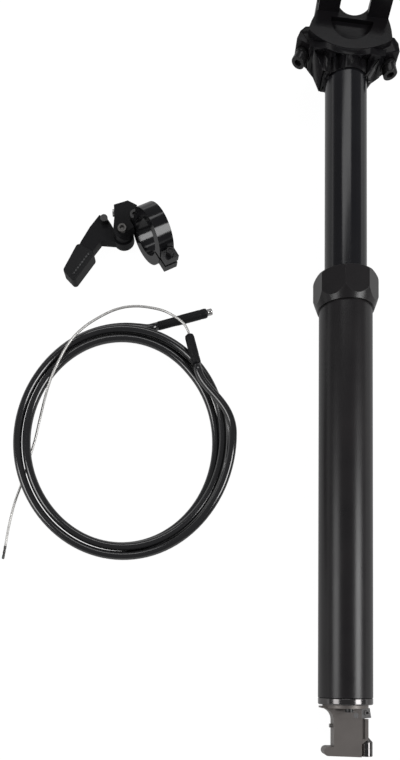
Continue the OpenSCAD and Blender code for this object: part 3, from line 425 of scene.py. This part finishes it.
# %% Wear as a node group
def new_node(tree, kind, **values):
    """A shader node; values that name a property set it, others set the unlinked input of that name."""
    made = tree.nodes.new(kind)
    for key, value in values.items():
        if hasattr(made, key):
            setattr(made, key, value)
        else:
            made.inputs[key.replace("_", " ")].default_value = value
    return made


def link_all(tree, pairs):
    """A link from the first socket of each pair to the second."""
    for start, end in pairs:
        tree.links.new(start, end)


wear = bpy.data.node_groups.new("wear", "ShaderNodeTree")
for side, kind, labels in (
    ("INPUT", "NodeSocketColor", ("Colour", "Tint")),
    ("INPUT", "NodeSocketFloat", ("Patches", "Grain", "Smooth", "Rough")),
    ("OUTPUT", "NodeSocketColor", ("Colour",)),
    ("OUTPUT", "NodeSocketFloat", ("Roughness", "Height")),
):
    for label in labels:
        wear.interface.new_socket(label, in_out=side, socket_type=kind)
given = new_node(wear, "NodeGroupInput")
result = new_node(wear, "NodeGroupOutput")
where = new_node(wear, "ShaderNodeTexCoord")
patches = new_node(wear, "ShaderNodeTexNoise", Detail=4.0)
grain = new_node(wear, "ShaderNodeTexNoise", Detail=2.0)
blend = new_node(wear, "ShaderNodeMix", data_type="RGBA")
spread = new_node(wear, "ShaderNodeMapRange", From_Min=0.3, From_Max=0.7)
both = new_node(wear, "ShaderNodeMath", operation="ADD")
even = new_node(wear, "ShaderNodeMapRange", From_Min=0.6, From_Max=1.4)
link_all(wear, (
    (where.outputs["Object"], patches.inputs["Vector"]), (where.outputs["Object"], grain.inputs["Vector"]),
    (given.outputs["Patches"], patches.inputs["Scale"]), (given.outputs["Grain"], grain.inputs["Scale"]),
    (patches.outputs["Fac"], spread.inputs["Value"]), (spread.outputs["Result"], blend.inputs["Factor"]),
    (given.outputs["Colour"], blend.inputs["A"]), (given.outputs["Tint"], blend.inputs["B"]),
    (patches.outputs["Fac"], both.inputs[0]), (grain.outputs["Fac"], both.inputs[1]),
    (both.outputs["Value"], even.inputs["Value"]), (given.outputs["Smooth"], even.inputs["To Min"]),
    (given.outputs["Rough"], even.inputs["To Max"]), (blend.outputs["Result"], result.inputs["Colour"]),
    (even.outputs["Result"], result.inputs["Roughness"]), (grain.outputs["Fac"], result.inputs["Height"]),
))
print("wear group with", len(wear.nodes), "nodes")

# %% [markdown]
# ## Finishes
#
# A finish is now only a choice of numbers: two colours, the smoothest and the roughest place, how far it is a metal
# and how strongly it mirrors. Black anodising is a thin glassy skin on aluminium, so it mirrors a few percent of
# the light and hides the metal.

# %% Finishes as numbers
GRAIN_STRENGTH = 0.6


def finish(name, colour, tint, rough, metallic=0.0, ior=1.45, patches=45.0, grain=2600.0, lift=0.01):
    """A Principled surface fed by the wear group; rough is (smoothest, roughest), lift the grain's height in mm."""
    material = bpy.data.materials.new(name)
    material.use_nodes = True
    tree = material.node_tree
    skin = tree.nodes["Principled BSDF"]
    skin.inputs["Metallic"].default_value = metallic
    skin.inputs["IOR"].default_value = ior
    worn = new_node(tree, "ShaderNodeGroup", node_tree=wear)
    for label, value in (("Colour", (*colour, 1)), ("Tint", (*tint, 1)), ("Patches", patches), ("Grain", grain),
                         ("Smooth", rough[0]), ("Rough", rough[1])):
        worn.inputs[label].default_value = value
    bump = new_node(tree, "ShaderNodeBump", Strength=GRAIN_STRENGTH, Distance=lift * MM)
    link_all(tree, (
        (worn.outputs["Colour"], skin.inputs["Base Color"]),
        (worn.outputs["Roughness"], skin.inputs["Roughness"]),
        (worn.outputs["Height"], bump.inputs["Height"]),
        (bump.outputs["Normal"], skin.inputs["Normal"]),
    ))
    return material


finishes = {
    "tube_black": finish("satin_black", (0.011, 0.010, 0.011), (0.015, 0.013, 0.014), (0.26, 0.34)),
    "stanchion_black": finish("smooth_black", (0.008, 0.008, 0.010), (0.010, 0.010, 0.012), (0.13, 0.2),
                              grain=3400.0),
    "head_black": finish("forged_black", (0.007, 0.007, 0.008), (0.010, 0.009, 0.010), (0.18, 0.27), ior=1.25,
                         patches=90.0, lift=0.03),
    "foot_alloy": finish("polished_foot", (0.17, 0.165, 0.165), (0.12, 0.115, 0.115), (0.1, 0.2), 1.0),
    "bracket_grey": finish("warm_grey", (0.165, 0.15, 0.142), (0.2, 0.183, 0.172), (0.36, 0.5), 0.6, grain=1800.0),
    "steel": finish("bright_steel", (0.62, 0.61, 0.6), (0.5, 0.49, 0.48), (0.16, 0.3), 1.0, patches=160.0),
    "rod_steel": finish("ground_steel", (0.55, 0.55, 0.55), (0.45, 0.45, 0.46), (0.12, 0.22), 1.0),
    "alloy": finish("plain_alloy", (0.6, 0.6, 0.6), (0.52, 0.52, 0.53), (0.25, 0.4), 1.0),
    "bushing": finish("bushing_nylon", (0.03, 0.03, 0.032), (0.045, 0.045, 0.048), (0.4, 0.55)),
    "brass": finish("guide_brass", (0.55, 0.38, 0.16), (0.45, 0.3, 0.13), (0.2, 0.35), 1.0),
    "rubber": finish("boot_rubber", (0.011, 0.011, 0.012), (0.016, 0.016, 0.017), (0.38, 0.52), ior=1.25,
                     grain=1500.0, lift=0.03),
    # Painted sheen: a lighter colour than the pad so the beads read as lit dots; the lower roughness is their own
    # gloss
    "bead_rubber_painted_sheen": finish("bead_rubber_painted_sheen", (0.03, 0.03, 0.032), (0.05, 0.05, 0.052), (0.25, 0.35)),
    "bolt_black": finish("bolt_black", (0.014, 0.014, 0.015), (0.03, 0.029, 0.029), (0.2, 0.34), 0.4,
                         patches=200.0),
    "lever_black": finish("lever_black", (0.008, 0.008, 0.009), (0.012, 0.012, 0.013), (0.4, 0.52), ior=1.22,
                          lift=0.04),
    "clamp_black": finish("gloss_black", (0.008, 0.008, 0.009), (0.012, 0.012, 0.013), (0.08, 0.14), grain=3200.0),
    "housing_black": finish("housing_black", (0.008, 0.008, 0.009), (0.011, 0.011, 0.012), (0.12, 0.18), ior=1.8,
                            patches=30.0),
    "wire_steel": finish("wire_steel", (0.78, 0.77, 0.75), (0.68, 0.67, 0.65), (0.4, 0.55), 1.0, patches=300.0),
    "tip_black": finish("tip_dark", (0.06, 0.058, 0.056), (0.1, 0.097, 0.094), (0.25, 0.4), 0.7, patches=300.0),
}
print(len(finishes), "finishes")

# %% [markdown]
# ## Which piece has which finish
#
# A piece has the finish of its material slot. A few small pieces are darker in the picture than their slot says, so
# they take the finish of another slot.

# %% Paint the pieces
finish_of = dict(slot_of)
for node in ("bracket_screws", "remote_clamp_bolt", "remote_perch_screw", "remote_cable_anchor", "front_washer",
             "rear_washer"):
    finish_of[node] = "bolt_black"
finish_of.update(remote_pivot_bolt="tip_black", housing_stop_sleeve="foot_alloy", remote_perch="lever_black")


def paint(piece, key):
    """One finish for the whole piece, in place of what it had."""
    piece.data.materials.clear()
    piece.data.materials.append(finishes[key])


for group in (nodes, rounded_pieces):
    for node, piece in group.items():
        paint(piece, finish_of[node])
for piece, key in piece_finish.items():
    paint(piece, key)
print(len(nodes) + len(rounded_pieces) + len(piece_finish), "pieces painted")

# %% [markdown]
# ## The room
#
# Black metal shows the room rather than its own colour. The room is white near the horizon and grey overhead, so
# that the tops of the pieces stay dark. The camera itself sees it white all over.

# %% World
WHITE, ROOM_GREY = (1, 1, 1, 1), (0.16, 0.16, 0.165, 1)
WHITE_BELOW, GREY_ABOVE = 0.04, 0.2  # upward part of a direction: 0 is level, 1 straight up
scene.view_settings.view_transform = "Standard"
world = bpy.data.worlds.new("white_room")
scene.world = world
world.use_nodes = True
tree = world.node_tree
tree.nodes.clear()
direction = new_node(tree, "ShaderNodeTexCoord")
height = new_node(tree, "ShaderNodeSeparateXYZ")
ramp = new_node(tree, "ShaderNodeValToRGB")
stops = ramp.color_ramp.elements
stops[0].position, stops[0].color = WHITE_BELOW, WHITE
stops[1].position, stops[1].color = GREY_ABOVE, ROOM_GREY
ray = new_node(tree, "ShaderNodeLightPath")
backdrop = new_node(tree, "ShaderNodeMix", data_type="RGBA", B=WHITE)
background = new_node(tree, "ShaderNodeBackground")
output = new_node(tree, "ShaderNodeOutputWorld")
link_all(tree, (
    (direction.outputs["Generated"], height.inputs[0]), (height.outputs["Z"], ramp.inputs[0]),
    (ray.outputs["Is Camera Ray"], backdrop.inputs["Factor"]), (ramp.outputs[0], backdrop.inputs["A"]),
    (backdrop.outputs["Result"], background.inputs[0]), (background.outputs[0], output.inputs[0]),
))
print("world with", len(tree.nodes), "nodes")

# %% [markdown]
# ## The floor
#
# The floor glows white to the camera, and more dimly in reflections, with a share of plain matt white mixed in
# that keeps a soft shadow. All other light meets matt white alone.

# %% Floor
FLOOR_SIZE, FLOOR_WHITE = 24, (0.93, 0.93, 0.93, 1)
GLOW_SHARE, GLOW_MIRRORED, GLOW_SEEN = 0.9, 0.5, 1.08
bpy.ops.mesh.primitive_plane_add(size=FLOOR_SIZE, location=(0, 0, table_z))
floor = bpy.context.object
floor.name = "floor"
floor_paint = bpy.data.materials.new("white_floor")
floor_paint.use_nodes = True
floor.data.materials.append(floor_paint)
tree = floor_paint.node_tree
tree.nodes.clear()
ray = new_node(tree, "ShaderNodeLightPath")
seen = new_node(tree, "ShaderNodeMath", operation="MAXIMUM")
seen_through = new_node(tree, "ShaderNodeMath", operation="MAXIMUM")
share = new_node(tree, "ShaderNodeMath", operation="MULTIPLY")
share.inputs[1].default_value = GLOW_SHARE
strength = new_node(tree, "ShaderNodeMapRange", To_Min=GLOW_MIRRORED, To_Max=GLOW_SEEN)
glow = new_node(tree, "ShaderNodeEmission")
matt = new_node(tree, "ShaderNodeBsdfDiffuse", Color=FLOOR_WHITE)
mix = new_node(tree, "ShaderNodeMixShader")
output = new_node(tree, "ShaderNodeOutputMaterial")
link_all(tree, (
    (ray.outputs["Is Camera Ray"], seen.inputs[0]), (ray.outputs["Is Glossy Ray"], seen.inputs[1]),
    (seen.outputs[0], seen_through.inputs[0]), (ray.outputs["Is Transmission Ray"], seen_through.inputs[1]),
    (seen_through.outputs[0], share.inputs[0]), (share.outputs[0], mix.inputs[0]),
    (ray.outputs["Is Camera Ray"], strength.inputs["Value"]), (strength.outputs["Result"], glow.inputs["Strength"]),
    (matt.outputs[0], mix.inputs[1]), (glow.outputs[0], mix.inputs[2]), (mix.outputs[0], output.inputs[0]),
))
print("floor with", len(tree.nodes), "nodes")

# %% [markdown]
# ## Lamps
#
# Two soft lamps stand left and right of the post, so each draws a pale band along the tube. A third stands beyond
# the saddle end for the band on the thin tube.


# %% Lamps
def soft_lamp(name, place, aim, size, watts):
    """A rectangular lamp at a place, turned to face a point; size is its two sides in metres."""
    data = bpy.data.lights.new(name, "AREA")
    data.shape = "RECTANGLE"
    data.size, data.size_y = size
    data.energy = watts
    lamp = bpy.data.objects.new(name, data)
    lamp.location = place
    lamp.rotation_euler = (Vector(aim) - Vector(place)).to_track_quat("-Z", "Y").to_euler()
    scene.collection.objects.link(lamp)


soft_lamp("left_strip", (-0.935, -0.17, 0.785), (0, -0.17, 0), (0.64, 0.5), 4.0)
soft_lamp("right_strip", (0.85, -0.17, 0.88), (0, -0.17, 0), (0.64, 0.5), 7.6)
soft_lamp("head_strip", (-0.12, 0.82, 1.05), (0, 0.1, 0), (0.9, 0.28), 1.9)

# %% [markdown]
# ## The last update
#
# The view layer is brought up to date.

# %% Update
bpy.context.view_layer.update()
